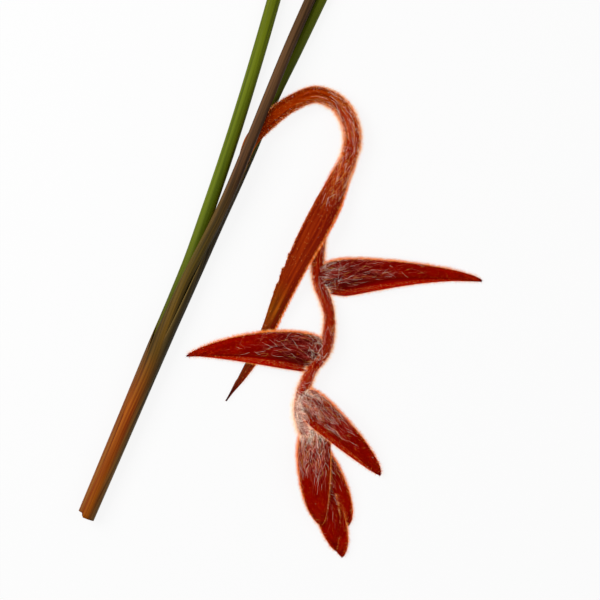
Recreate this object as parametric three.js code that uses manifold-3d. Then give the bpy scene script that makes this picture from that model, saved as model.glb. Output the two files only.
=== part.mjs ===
// A cut heliconia with hairy hanging bracts, lying on a flat surface.
//
// Millimetres. +Z points up from the surface, +Y from the cut end towards the leaf stalks, and +X to the right
// of someone who looks down on the flower. The origin is on the surface, under the middle of the whole flower.
import * as THREE from "three";
import { mergeVertices } from "three/addons/utils/BufferGeometryUtils.js";
import Module from "manifold-3d";

const manifold = await Module();
manifold.setup();

// ---------------------------------------------------------------- driving dimensions

const GAP = 0.3; // clearance between pieces that lie against each other

// The stem: rolled leaf sheaths, one inside the other, round the flower stalk.
const stem = {
  cutEnd: new THREE.Vector2(-164.4, -215.95),
  lean: THREE.MathUtils.degToRad(23.1), // from +Y towards +X
  coreRadius: 3.6, // the flower stalk inside it
  sheathWall: 1.5,
  cutTaper: 0.84, // size at the cut end over the size where the stalks part
  taperLength: 180,
};

// The free stalks of the three leaves: widths across, heights, and where each is cut off, from the stem's cut end.
const leafStalk = {
  left: { width: 11.6, height: 10.6, end: 491 },
  front: { width: 9.2, height: 8.8, end: 505.5 },
  back: { width: 10.2, height: 10.0, end: 500 },
};

// The flower stalk: it leaves the stem, arches over and ends in a zigzag axis that carries the bracts.
const flowerStalk = {
  leavesStemAt: 352, // from the cut end
  leavesAside: 3.6, // to the right of the stem's middle line
  height: 11, // of its middle line where it leaves the stem
  archSpan: 81,
  archRise: 37.5,
  archRadius: 6.8,
  axisRadius: 4.4,
};

// The stretches of the zigzag axis: length, heading anticlockwise from +X, sideways bow to the left of the
// heading, and the height of the middle line at the stretch's far end.
const axisStretches = [
  { length: 102.5, heading: -104.2, bow: -7.6, height: 5.6 },
  { length: 62.3, heading: -85.3, bow: 6.4, height: 8 },
  { length: 40.1, heading: -117.1, bow: -2, height: 10 },
  { length: 32.3, heading: -88.4, bow: -4, height: 10 },
  { length: 17.1, heading: -63.6, bow: 0, height: 9 },
  { length: 16.1, heading: -71.6, bow: 0, height: 8 },
  { length: 16.1, heading: -71.6, bow: 0, height: 7 },
];

// The long empty bract at the foot of the flower. Its axis is straight, and its middle line rises and falls over
// the places along it, as shares of its length.
const basalBract = {
  heading: -116.9,
  length: 230,
  width: 23.5,
  thickness: 4.2,
  crossesAxisFrom: 0.24,
  crossesAxisTo: 0.45,
  underSecondBractAt: 0.72,
};

// The seven bracts. node counts along the zigzag axis, and aside shifts the base to the left of the heading.
const bracts = [
  { node: 1, heading: -1.4, aside: 0, length: 139.4, width: 31.5, thickness: 14.5 },
  { node: 2, heading: 182.3, aside: 0.6, length: 117.8, width: 32, thickness: 14 },
  { node: 3, heading: -46.3, aside: -1.8, length: 96.9, width: 27, thickness: 12.5 },
  { node: 4, heading: -84.4, aside: 6.5, length: 81, width: 29, thickness: 12 },
  { node: 5, heading: -66.5, aside: 1, length: 73, width: 24, thickness: 9.5 },
  { node: 6, heading: -77.4, aside: -2, length: 73.6, width: 21, thickness: 9 },
  { node: 7, heading: -77, aside: 0, length: 64.5, width: 20.5, thickness: 8 },
];
// Heights of each bract's middle line at the base, at a third of the length and at the tip.
const bractHeights = [
  [7.6, 7.4, 2.4],
  [9, 13.4, 2.6],
  [12.5, 17.4, 4.5],
  [10, 14.6, 12],
  [8, 6.2, 3.5],
  [8, 8.6, 5],
  [6, 4.4, 3],
];
// The side of each bract's folded back: 1 is left of the heading, -1 right.
const keelSide = [1, -1, 1, -1, 1, -1, 1];
// The outline of each bract, as its reach from the chord in shares of the width, the place where it is widest, and
// the two powers of its fall to the tip. The folded back comes first, then the open side.
const keelEdges = [
  { reach: 0.51, widest: 0.24, power: 1.6, ease: 0.6 },
  { reach: 0.56, widest: 0.36, power: 1.7, ease: 0.75 },
  { reach: 0.475, widest: 0.28, power: 2.4, ease: 0.55 },
  { reach: 0.5, widest: 0.35, power: 2.4, ease: 0.6 },
  { reach: 0.54, widest: 0.42, power: 2.4, ease: 0.6 },
  { reach: 0.5, widest: 0.35, power: 2.2, ease: 0.7 },
  { reach: 0.5, widest: 0.5, power: 2.4, ease: 0.6 },
];
const openEdges = [
  { reach: 0.5, widest: 0.17, power: 1.2, ease: 2.2 },
  { reach: 0.54, widest: 0.15, power: 1.1, ease: 1.4 },
  { reach: 0.51, widest: 0.24, power: 1, ease: 0.7 },
  { reach: 0.515, widest: 0.16, power: 1, ease: 0.5 },
  { reach: 0.5, widest: 0.3, power: 1.6, ease: 0.8 },
  { reach: 0.5, widest: 0.45, power: 1.8, ease: 0.8 },
  { reach: 0.5, widest: 0.4, power: 2, ease: 0.8 },
];

// ---------------------------------------------------------------- solids from rings

const UP = new THREE.Vector3(0, 0, 1);

// One row of numbers for each place from 0 to 1, interpolated smoothly between the given rows.
function smoothRows(rows, count) {
  const column = (k) =>
    new THREE.SplineCurve(rows.map((row) => new THREE.Vector2(row[0], row[k])));
  const curves = rows[0].slice(1).map((_, k) => column(k + 1));
  return Array.from({ length: count + 1 }, (_, i) => {
    const points = curves.map((curve) => curve.getPoint(i / count));
    return [points[0].x, ...points.map((point) => point.y)];
  });
}

// A closed solid through rings. Each ring has a centre, a direction that it faces, half a width and half a height.
function solidThroughRings(rings, sides, grow = 0) {
  const position = [];
  const index = [];
  rings.forEach(({ centre, facing, halfWidth, halfHeight }, i) => {
    const across = new THREE.Vector3().crossVectors(facing, UP).normalize();
    const upward = new THREE.Vector3().crossVectors(across, facing).normalize();
    const isEnd = i === 0 || i === rings.length - 1;
    const push = isEnd ? (i === 0 ? -grow : grow) : 0;
    const middle = centre.clone().addScaledVector(facing, push);
    for (let k = 0; k < sides; k++) {
      const angle = (2 * Math.PI * k) / sides;
      const point = middle
        .clone()
        .addScaledVector(across, (halfWidth + grow) * Math.cos(angle))
        .addScaledVector(upward, (halfHeight + grow) * Math.sin(angle));
      position.push(...point.toArray());
      if (i > 0) {
        const here = i * sides + k;
        const next = i * sides + ((k + 1) % sides);
        index.push(here - sides, here, next, here - sides, next, next - sides);
      }
    }
  });
  const last = (rings.length - 1) * sides;
  for (let k = 1; k < sides - 1; k++) {
    index.push(0, k, k + 1);
    index.push(last, last + k + 1, last + k);
  }
  return new manifold.Manifold(
    new manifold.Mesh({
      numProp: 3,
      vertProperties: new Float32Array(position),
      triVerts: new Uint32Array(index),
    }),
  );
}

// A named mesh from a solid, in its own colour.
function meshOf(name, solid, colour, roughness) {
  const { vertProperties, triVerts } = solid.getMesh();
  const geometry = new THREE.BufferGeometry();
  geometry.setAttribute("position", new THREE.BufferAttribute(vertProperties, 3));
  geometry.setIndex(new THREE.BufferAttribute(triVerts, 1));
  const merged = mergeVertices(geometry);
  merged.computeVertexNormals();
  const material = new THREE.MeshStandardMaterial({ color: colour, roughness, metalness: 0 });
  const mesh = new THREE.Mesh(merged, material);
  mesh.name = name;
  return mesh;
}

// A piece keeps its uncut shape as a function of growth, so that its neighbours can be cut clear of it.
function cutClearOf(shape, ...neighbours) {
  return neighbours.reduce((solid, other) => solid.subtract(other(GAP)), shape(0));
}

// ---------------------------------------------------------------- the stem and the leaf stalks

const alongStem = new THREE.Vector3(Math.sin(stem.lean), Math.cos(stem.lean), 0);
const rightOfStem = new THREE.Vector3(Math.cos(stem.lean), -Math.sin(stem.lean), 0);

// A point given by its distance from the cut end, its distance to the right of the middle line, and its height.
function inStem(along, aside, height) {
  return new THREE.Vector3(stem.cutEnd.x, stem.cutEnd.y, height)
    .addScaledVector(alongStem, along)
    .addScaledVector(rightOfStem, aside);
}

// The outer radius of the sheath that is the given number of layers out from the flower stalk.
function sheathRadius(layer) {
  return stem.coreRadius + layer * (stem.sheathWall + GAP);
}

const STEM_RINGS = 28;
const STEM_SIDES = 14;
const stemRadius = sheathRadius(3);
const parting = stem.taperLength;

// A leaf stalk from rows of: distance from the cut end, distance aside, height, half width, half height.
function leafStalkShape(rows) {
  const rings = smoothRows(rows, STEM_RINGS).map(([along, aside, height, halfWidth, halfHeight]) => ({
    centre: inStem(along, aside, height),
    facing: alongStem,
    halfWidth,
    halfHeight,
  }));
  return (grow) => solidThroughRings(rings, STEM_SIDES, grow);
}

// A row inside the rolled stem: the given layer, at the given share of the full size. The front leaf's sheath is
// raised, so that it shows between the edges of the outer one.
const showsBy = 0.5;
function rolled(along, layer, share, aside = -1, isRaised = false) {
  const radius = sheathRadius(layer) * share;
  const raised = isRaised ? (stemRadius - sheathRadius(layer)) * share + showsBy : 0;
  return [along, aside, stemRadius * share + raised, radius, radius];
}

const { left, front, back } = leafStalk;
const leftRows = [
  rolled(0, 1, stem.cutTaper),
  rolled(parting * 0.6, 1, 0.95, -1.8),
  [parting + 20, -4.2, 7.2, left.width * 0.47, left.height * 0.47],
  [parting + 57, -4.9, left.height / 2 + 0.6, left.width / 2, left.height / 2],
  [parting + 92, -7.1, left.height / 2 + 0.1, left.width / 2, left.height / 2],
  [parting + 165, -12.7, left.height / 2, left.width / 2, left.height / 2],
  [parting + 235, -20, left.height / 2, left.width / 2, left.height / 2],
  [left.end, -29.4, left.height / 2, left.width / 2, left.height / 2],
];
const frontRows = [
  rolled(0, 2, stem.cutTaper, -1, true),
  rolled(parting * 0.8, 2, 1, -1.4, true),
  [parting + 25, 0, 11.6, sheathRadius(2) * 0.93, sheathRadius(2) * 0.9],
  [parting + 60, 1.6, 13.4, front.width * 0.6, front.height * 0.66],
  [parting + 97, 3, 15, front.width * 0.55, front.height * 0.55],
  [parting + 172, 3.2, 18.6, front.width / 2, front.height / 2],
  [parting + 207, 2.5, 18.2, front.width / 2, front.height / 2],
  [parting + 250, 1.8, 15.4, front.width / 2, front.height / 2],
  [front.end, 2.4, 10.9, front.width * 0.48, front.height * 0.5],
];
const backRows = [
  rolled(0, 3, stem.cutTaper, -1),
  rolled(parting * 0.85, 3, 1, -1.1),
  [parting + 20, -0.6, stemRadius * 0.92, stemRadius, stemRadius * 0.92],
  [parting + 60, 0.8, 6.8, stemRadius * 0.92, 6.8],
  [parting + 100, 2.6, 5.6, back.width * 0.66, 5.6],
  [parting + 160, 5, 4.2, back.width * 0.58, 4.2],
  [parting + 192, 5.6, 3.1, back.width * 0.52, 3.1],
  [parting + 215, 5.8, 3.6, back.width * 0.5, 3.6],
  [parting + 250, 7.8, back.height / 2, back.width / 2, back.height / 2],
  [back.end, 10.9, back.height / 2, back.width / 2, back.height / 2],
];

const leftShape = leafStalkShape(leftRows);
const frontShape = leafStalkShape(frontRows);
const backShape = leafStalkShape(backRows);

// ---------------------------------------------------------------- the flower stalk

// A unit vector for a heading in degrees, anticlockwise from +X.
function headingVector(degrees) {
  const angle = THREE.MathUtils.degToRad(degrees);
  return new THREE.Vector3(Math.cos(angle), Math.sin(angle), 0);
}

// The vector to the left of a heading.
function leftOf(direction) {
  return new THREE.Vector3(-direction.y, direction.x, 0);
}

const exit = inStem(flowerStalk.leavesStemAt, flowerStalk.leavesAside, flowerStalk.height);

// A point of the arch, as shares of its span and of its rise over the place where the stalk leaves the stem.
function onArch(spanShare, riseShare, height) {
  return new THREE.Vector3(
    exit.x + spanShare * flowerStalk.archSpan,
    exit.y + riseShare * flowerStalk.archRise,
    height,
  );
}

const archRadius = flowerStalk.archRadius;
const axisRadius = flowerStalk.axisRadius;
const restOnSurface = archRadius + 0.2;
const archEnd = onArch(1, -0.483, archRadius + 0.9);

// The nodes of the zigzag axis, with the end of the arch as node 0.
const nodes = [archEnd];
const bows = [];
axisStretches.forEach(({ length, heading, bow, height }) => {
  const start = nodes[nodes.length - 1];
  const direction = headingVector(heading);
  const end = start.clone().addScaledVector(direction, length).setZ(height);
  bows.push(start.clone().lerp(end, 0.55).addScaledVector(leftOf(direction), bow));
  nodes.push(end);
});

// Places on the stalk's middle line, each with its radius there.
const core = stem.coreRadius;
const stalkPlaces = [
  [inStem(0, -1, stemRadius * stem.cutTaper), core * stem.cutTaper],
  [inStem(110, -1, stemRadius * 0.96), core * 0.95],
  [inStem(200, -0.4, stemRadius), core],
  [inStem(270, 3, stemRadius), core],
  [inStem(320, 4.4, flowerStalk.height - 0.8), core * 1.05],
  [exit, archRadius * 0.84],
  [onArch(0.16, 0.38, 10.4), archRadius * 0.92],
  [onArch(0.41, 0.8, 8.4), archRadius * 0.95],
  [onArch(0.67, 1, restOnSurface + 0.4), archRadius * 0.97],
  [onArch(0.88, 0.815, restOnSurface), archRadius],
  [onArch(1.015, 0.38, restOnSurface), archRadius * 1.04],
  [onArch(1.045, -0.05, restOnSurface + 0.4), archRadius * 1.04],
  [nodes[0], archRadius * 0.96],
  [bows[0], axisRadius],
  [nodes[1], axisRadius],
  [bows[1], axisRadius],
  [nodes[2], axisRadius],
  [bows[2], axisRadius],
  [nodes[3], axisRadius],
  [bows[3], axisRadius * 0.95],
  [nodes[4], axisRadius * 0.9],
  [nodes[5], axisRadius * 0.8],
  [nodes[6], axisRadius * 0.65],
  [nodes[7], axisRadius * 0.5],
];
const stalkLine = new THREE.CatmullRomCurve3(stalkPlaces.map(([place]) => place));
const STALK_STEPS = 3; // rings for each stretch between two places
const STALK_SIDES = 12;

const stalkRings = [];
for (let i = 0; i <= (stalkPlaces.length - 1) * STALK_STEPS; i++) {
  const share = i / STALK_STEPS;
  const at = Math.min(Math.floor(share), stalkPlaces.length - 2);
  const t = share / (stalkPlaces.length - 1);
  const radius = THREE.MathUtils.lerp(stalkPlaces[at][1], stalkPlaces[at + 1][1], share - at);
  stalkRings.push({
    centre: stalkLine.getPoint(t),
    facing: stalkLine.getTangent(t),
    halfWidth: radius,
    halfHeight: radius,
  });
}
const stalkShape = (grow) => solidThroughRings(stalkRings, STALK_SIDES, grow);

// ---------------------------------------------------------------- the bracts

// How far an edge stands from the chord at a place from 0, the base, to 1, the tip: a quarter of an ellipse up to
// the widest place, then a fall to the tip.
const BASE_SHARE = 0.4;
const TIP_SHARE = 0.02;
function edgeAt(share, { reach, widest, power, ease }) {
  if (share < widest) {
    const left = 1 - share / widest;
    return reach * (BASE_SHARE + (1 - BASE_SHARE) * Math.sqrt(1 - left * left));
  }
  const run = (share - widest) / (1 - widest);
  return Math.max(reach * (1 - run ** power) ** ease, TIP_SHARE);
}

// Edges of the long bract, by place, as shares of its width: right of the chord and left of it.
const STRAP = [
  [0, 0.42, 0.42],
  [0.07, 0.5, 0.37],
  [0.17, 0.57, 0.39],
  [0.27, 0.57, 0.41],
  [0.4, 0.47, 0.37],
  [0.54, 0.43, 0.26],
  [0.7, 0.43, 0.03],
  [0.84, 0.4, -0.1],
  [0.93, 0.3, -0.12],
  [1, 0.02, 0.02],
];
const BRACT_RINGS = 18;
const BRACT_SIDES = 14;

// A flattened bract along a straight chord from its base. profile gives pairs of place and height of the middle
// line, and halfThickness gives half the thickness at each place.
function bractShape({ base, heading, length, width, keel, outline, profile, halfThickness }) {
  const facing = headingVector(heading);
  const keelDirection = leftOf(facing).multiplyScalar(keel);
  const heightAt = (share) => {
    const next = Math.max(1, profile.findIndex(([place]) => place >= share));
    const [[from, low], [to, high]] = [profile[next - 1], profile[next]];
    return low + (high - low) * THREE.MathUtils.smoothstep(share, from, to);
  };
  const rings = outline.map(([share, keelEdge, openEdge]) => ({
    centre: base
      .clone()
      .addScaledVector(facing, share * length)
      .addScaledVector(keelDirection, (width * (keelEdge - openEdge)) / 2)
      .setZ(heightAt(share)),
    facing,
    halfWidth: (width * (keelEdge + openEdge)) / 2,
    halfHeight: halfThickness(share),
  }));
  return (grow) => solidThroughRings(rings, BRACT_SIDES, grow);
}

function boatBract({ node, heading, aside, length, width, thickness }, i) {
  const outline = Array.from({ length: BRACT_RINGS + 1 }, (_, k) => {
    const share = k / BRACT_RINGS;
    return [share, edgeAt(share, keelEdges[i]), edgeAt(share, openEdges[i])];
  });
  const [atBase, atThird, atTip] = bractHeights[i];
  return bractShape({
    base: nodes[node].clone().addScaledVector(leftOf(headingVector(heading)), aside),
    heading,
    length,
    width,
    keel: keelSide[i],
    outline,
    profile: [[0, atBase], [0.34, atThird], [1, atTip]],
    halfThickness: (share) => (thickness / 2) * Math.min(0.62 + 2.4 * share, 1) * (1 - 0.85 * share ** 1.8),
  });
}

const bractShapes = bracts.map(boatBract);
const [bract1, bract2, bract3, bract4, bract5, bract6, bract7] = bractShapes;

// The long bract clasps the end of the arch, lies over the zigzag axis and passes under the second bract.
const strapHalf = basalBract.thickness / 2;
const overAxis = nodes[1].z + axisRadius + GAP + strapHalf + 1;
const claspHalf = archRadius + GAP + 1.2;
const claspLength = 0.14;
const strapShape = bractShape({
  ...basalBract,
  base: nodes[0],
  keel: 1,
  outline: smoothRows(STRAP, BRACT_RINGS),
  profile: [
    [0, nodes[0].z + 0.8],
    [basalBract.crossesAxisFrom, overAxis],
    [basalBract.crossesAxisTo, overAxis],
    [basalBract.underSecondBractAt, strapHalf],
    [1, strapHalf * 0.6],
  ],
  halfThickness: (share) =>
    THREE.MathUtils.lerp(claspHalf, strapHalf, Math.min(share / claspLength, 1)) * (1 - 0.6 * share),
});

// ---------------------------------------------------------------- the flower, piece by piece

const plant = new THREE.Group();
const pieces = {
  leaf_stalk_left: [cutClearOf(leftShape, stalkShape), "#6b8c28", 0.5],
  leaf_stalk_front: [cutClearOf(frontShape, stalkShape, leftShape), "#5c4030", 0.55],
  leaf_stalk_back: [cutClearOf(backShape, stalkShape, leftShape, frontShape), "#5a6a2a", 0.55],
  flower_stalk: [stalkShape(0), "#b03a12", 0.8],
  basal_bract: [cutClearOf(strapShape, stalkShape, bract1, bract2), "#9c3c08", 0.7],
  bract_1: [cutClearOf(bract1, stalkShape), "#a81404", 0.85],
  bract_2: [cutClearOf(bract2, stalkShape), "#a81404", 0.85],
  bract_3: [cutClearOf(bract3, stalkShape), "#a01808", 0.85],
  bract_4: [cutClearOf(bract4, stalkShape, bract3), "#981208", 0.85],
  bract_5: [cutClearOf(bract5, stalkShape, bract3, bract4, bract6), "#901008", 0.85],
  bract_6: [cutClearOf(bract6, stalkShape, bract3, bract4), "#901008", 0.85],
  bract_7: [cutClearOf(bract7, stalkShape, bract3, bract4, bract5, bract6), "#880e08", 0.85],
};
for (const [name, [solid, colour, roughness]] of Object.entries(pieces)) {
  plant.add(meshOf(name, solid, colour, roughness));
}

// The origin goes under the middle of the whole flower, on the surface that it lies on.
const extent = new THREE.Box3().setFromObject(plant, true);
const middle = extent.getCenter(new THREE.Vector3());
plant.position.set(-middle.x, -middle.y, -extent.min.z);

const heliconia = new THREE.Group();
heliconia.add(plant);

export default heliconia;
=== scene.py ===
"""A cut heliconia with hairy hanging bracts, lying on a pale floor and seen from above.

Metres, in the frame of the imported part: +Z up from the floor, +Y from the cut end towards the leaf stalks.
Each skin is a grid of points: rings along a piece, and columns round it. Hair is thin tapered strands that
start on such a grid.
"""

import bpy
import numpy as np
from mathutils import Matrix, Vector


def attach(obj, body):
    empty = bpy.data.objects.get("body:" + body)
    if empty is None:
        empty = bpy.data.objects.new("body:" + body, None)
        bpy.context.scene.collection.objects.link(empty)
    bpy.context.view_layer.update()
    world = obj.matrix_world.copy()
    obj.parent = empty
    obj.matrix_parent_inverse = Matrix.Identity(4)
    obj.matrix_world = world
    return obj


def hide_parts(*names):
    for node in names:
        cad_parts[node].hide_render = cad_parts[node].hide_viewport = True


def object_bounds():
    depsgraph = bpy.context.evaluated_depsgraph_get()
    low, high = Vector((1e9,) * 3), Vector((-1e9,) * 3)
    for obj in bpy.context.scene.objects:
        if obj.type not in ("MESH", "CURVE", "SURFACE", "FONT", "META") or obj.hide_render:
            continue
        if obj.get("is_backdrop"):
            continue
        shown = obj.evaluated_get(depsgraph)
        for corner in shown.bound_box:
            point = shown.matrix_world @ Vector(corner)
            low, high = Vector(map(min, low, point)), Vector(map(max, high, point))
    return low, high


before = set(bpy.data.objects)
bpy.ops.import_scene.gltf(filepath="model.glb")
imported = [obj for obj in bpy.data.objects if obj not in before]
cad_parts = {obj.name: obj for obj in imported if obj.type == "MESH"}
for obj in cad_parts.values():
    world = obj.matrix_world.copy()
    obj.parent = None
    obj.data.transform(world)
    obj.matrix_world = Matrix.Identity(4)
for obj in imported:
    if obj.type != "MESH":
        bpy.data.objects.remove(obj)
cad_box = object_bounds()

# ---------------------------------------------------------------- camera, floor and light
# The flower lies on a plain pale floor. The camera hangs over it and looks straight down, and big soft lights
# stand to the left and the right.

camera_height = 2.0
view_width = 0.510
view_middle = (0.0171, -0.0307)
stalk_level = 0.008  # the height at which the view is as wide as stated
sensor_width = 36.0

camera_data = bpy.data.cameras.new("camera")
camera_data.sensor_width = sensor_width
camera_data.lens = sensor_width * (camera_height - stalk_level) / view_width
camera = bpy.data.objects.new("camera", camera_data)
camera.location = (*view_middle, camera_height)
bpy.context.scene.collection.objects.link(camera)
bpy.context.scene.camera = camera


def new_material(name, roughness, gloss):
    """A material with a Principled shader of one plain roughness and one plain strength of reflection."""
    material = bpy.data.materials.new(name)
    material.use_nodes = True
    shader = material.node_tree.nodes["Principled BSDF"]
    shader.inputs["Roughness"].default_value = roughness
    shader.inputs["Specular IOR Level"].default_value = gloss
    return material, material.node_tree, shader


floor_reach = 3.0
floor_grey = (0.1, 0.1, 0.1, 1)
floor_glow = 0.88  # the floor gives light itself, so that it stays evenly pale
white = (1, 1, 1, 1)
floor_mesh = bpy.data.meshes.new("floor")
corners = [(-1, -1), (1, -1), (1, 1), (-1, 1)]
floor_mesh.from_pydata([(x * floor_reach, y * floor_reach, 0) for x, y in corners], [], [(0, 1, 2, 3)])
floor = bpy.data.objects.new("floor", floor_mesh)
bpy.context.scene.collection.objects.link(floor)
floor_paint, _, floor_shader = new_material("floor_paint", roughness=0.9, gloss=0)
floor_shader.inputs["Base Color"].default_value = floor_grey
floor_shader.inputs["Emission Color"].default_value = white
floor_shader.inputs["Emission Strength"].default_value = floor_glow
floor_mesh.materials.append(floor_paint)
floor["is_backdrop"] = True

sky_strength = 0.36
world = bpy.data.worlds.new("studio")
world.use_nodes = True
sky = world.node_tree.nodes["Background"]
sky.inputs["Color"].default_value = white
sky.inputs["Strength"].default_value = sky_strength
bpy.context.scene.world = world
bpy.context.scene.view_settings.view_transform = "Standard"


def aimed_light(name, place, size, power):
    """A square light of the given size and power at a place, turned towards the origin."""
    data = bpy.data.lights.new(name, "AREA")
    data.size = size
    data.energy = power
    light = bpy.data.objects.new(name, data)
    light.location = place
    light.rotation_euler = (-light.location).to_track_quat("-Z", "Y").to_euler()
    light.visible_camera = False
    bpy.context.scene.collection.objects.link(light)


aimed_light("left_light", place=(-1.1, 0.5, 1.2), size=1.0, power=21)
aimed_light("right_light", place=(1.2, -0.3, 1.4), size=1.2, power=7)

# ---------------------------------------------------------------- the stem and its three leaf stalks
# Each leaf stalk is a firm fibrous rod that widens downwards into a sheath. The sheaths are rolled round each
# other and round the flower stalk, and make the stem. All are cut across at the bottom.

MM = 0.001
UP = np.array([0, 0, 1.0])
cut_end = np.array([-164.4, -215.95]) * MM
lean = np.radians(23.1)
along_stem = np.array([np.sin(lean), np.cos(lean), 0])
right_of_stem = np.array([np.cos(lean), -np.sin(lean), 0])
stem_rings = 150
stem_columns = 90
floor_gap = 0.1 * MM  # no skin comes nearer to the floor


def follow(stations, values, at):
    """Values carried smoothly along a path, by a cubic between each two stations. The slope at a station is
    the slope between its neighbours."""
    stations = np.asarray(stations, float)
    values = np.asarray(values, float)
    slopes = np.gradient(values, stations, axis=0)
    low = np.clip(np.searchsorted(stations, at) - 1, 0, len(stations) - 2)
    span = stations[low + 1] - stations[low]
    part = (at - stations[low]) / span
    if values.ndim > 1:
        part = part[:, None]
        span = span[:, None]
    start, end = values[low], values[low + 1]
    fall = 2 * part**3 - 3 * part**2 + 1
    bend_start = (part**3 - 2 * part**2 + part) * span * slopes[low]
    bend_end = (part**3 - part**2) * span * slopes[low + 1]
    return fall * start + (1 - fall) * end + bend_start + bend_end


def smooth(low, high, value):
    """0 below low, 1 above high, and an even S between them."""
    part = np.clip((value - low) / (high - low), 0, 1)
    return part * part * (3 - 2 * part)


def mesh_of(name, points, faces, slots=None):
    """An object from an array of points and an array of faces that all have as many corners, turned to face
    outwards: the solid's signed volume, summed over the faces as tetrahedra from the origin, is positive."""
    corner = points[faces]
    volume = np.einsum("ij,ij->", corner[:, 0], np.cross(corner[:, 1], corner[:, 2]))
    if volume < 0:
        faces = faces[:, ::-1]
    mesh = bpy.data.meshes.new(name)
    mesh.vertices.add(len(points))
    mesh.vertices.foreach_set("co", points.astype(np.float32).ravel())
    mesh.loops.add(faces.size)
    mesh.loops.foreach_set("vertex_index", faces.astype(np.int32).ravel())
    mesh.polygons.add(len(faces))
    mesh.polygons.foreach_set("loop_start", np.arange(0, faces.size, faces.shape[1], dtype=np.int32))
    mesh.polygons.foreach_set("use_smooth", np.ones(len(faces), bool))
    if slots is not None:
        mesh.polygons.foreach_set("material_index", slots.astype(np.int32))
    mesh.update(calc_edges=True)
    mesh.validate()
    piece = bpy.data.objects.new(name, mesh)
    bpy.context.scene.collection.objects.link(piece)
    return piece


def skin(name, grid, marks):
    """A closed skin over a grid of rings. Each ring closes on itself, and the two end rings are closed by a
    ladder of faces between their first and second halves. marks are numbers kept at the points for the
    material."""
    rings, columns, _ = grid.shape
    ring, column = np.meshgrid(np.arange(rings - 1), np.arange(columns), indexing="ij")
    here = ring * columns + column
    beside = ring * columns + (column + 1) % columns
    sides = np.stack([here, beside, beside + columns, here + columns], -1).reshape(-1, 4)
    rung = np.arange(columns // 2 - 1)
    first_cap = np.stack([columns - 1 - rung, columns - 2 - rung, rung + 1, rung], -1)
    last_cap = first_cap[:, ::-1] + (rings - 1) * columns
    points = grid.reshape(-1, 3).copy()
    points[:, 2] = np.maximum(points[:, 2], floor_gap)
    piece = mesh_of(name, points, np.concatenate([sides, first_cap, last_cap]))
    for kind, values in marks.items():
        layer = piece.data.attributes.new(kind, "FLOAT", "POINT")
        layer.data.foreach_set("value", np.broadcast_to(values, grid.shape[:2]).astype(np.float32).ravel())
    return piece


def colour(code):
    """A colour written as six hexadecimal digits of display values, as the linear values shaders take."""
    shown = np.array([int(code[i : i + 2], 16) for i in (0, 2, 4)]) / 255
    linear = np.where(shown < 0.04045, shown / 12.92, ((shown + 0.055) / 1.055) ** 2.4)
    return (*(float(value) for value in linear), 1.0)


def stops(places, codes):
    """Pairs of place and colour code for a ramp."""
    return list(zip(places, codes.split()))


def ramp(tree, factor, stops):
    """Colours blended along a factor, from pairs of place and colour code."""
    node = tree.nodes.new("ShaderNodeValToRGB")
    for place, _ in stops[2:]:
        node.color_ramp.elements.new(place)
    for element, (place, code) in zip(node.color_ramp.elements, stops):
        element.position = place
        element.color = colour(code)
    tree.links.new(factor, node.inputs["Fac"])
    return node.outputs["Color"]


def mark(tree, name):
    """The number that a skin keeps at its points under this name."""
    node = tree.nodes.new("ShaderNodeAttribute")
    node.attribute_name = name
    return node.outputs["Fac"]


def blend_colours(tree, factor, first, second):
    """Two colours mixed by a factor. The mixer takes them at its sockets 6 and 7, and the factor at 0."""
    node = tree.nodes.new("ShaderNodeMix")
    node.data_type = "RGBA"
    for socket, value in ((node.inputs[0], factor), (node.inputs[6], first), (node.inputs[7], second)):
        if isinstance(value, bpy.types.NodeSocket):
            tree.links.new(value, socket)
        else:
            socket.default_value = value
    return node.outputs[2]


def fibre_group():
    """Long streaks that follow a piece. The pattern reads how far along and how far round a point is, in
    metres, squeezes the first by Stretch, and puts out broad streaks, fine fibres and a height for a bump."""
    group = bpy.data.node_groups.new("fibres", "ShaderNodeTree")
    for name, value in (("Along", 0.0), ("Round", 0.0), ("Stretch", 0.03), ("Finest", 2500.0)):
        socket = group.interface.new_socket(name, in_out="INPUT", socket_type="NodeSocketFloat")
        socket.default_value = value
    for name in ("Streaks", "Fibres", "Height"):
        group.interface.new_socket(name, in_out="OUTPUT", socket_type="NodeSocketFloat")
    nodes, links = group.nodes, group.links
    given = nodes.new("NodeGroupInput")
    result = nodes.new("NodeGroupOutput")
    squeeze = nodes.new("ShaderNodeMath")
    squeeze.operation = "MULTIPLY"
    links.new(given.outputs["Along"], squeeze.inputs[0])
    links.new(given.outputs["Stretch"], squeeze.inputs[1])
    place = nodes.new("ShaderNodeCombineXYZ")
    links.new(squeeze.outputs[0], place.inputs["X"])
    links.new(given.outputs["Round"], place.inputs["Y"])
    broad = nodes.new("ShaderNodeTexNoise")
    broad.inputs["Scale"].default_value = 420
    broad.inputs["Detail"].default_value = 3
    links.new(place.outputs[0], broad.inputs["Vector"])
    fine = nodes.new("ShaderNodeTexNoise")
    fine.inputs["Detail"].default_value = 2
    links.new(place.outputs[0], fine.inputs["Vector"])
    links.new(given.outputs["Finest"], fine.inputs["Scale"])
    both = nodes.new("ShaderNodeMath")
    both.operation = "ADD"
    links.new(broad.outputs["Fac"], both.inputs[0])
    links.new(fine.outputs["Fac"], both.inputs[1])
    links.new(broad.outputs["Fac"], result.inputs["Streaks"])
    links.new(fine.outputs["Fac"], result.inputs["Fibres"])
    links.new(both.outputs[0], result.inputs["Height"])
    return group


fibres = fibre_group()


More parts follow.
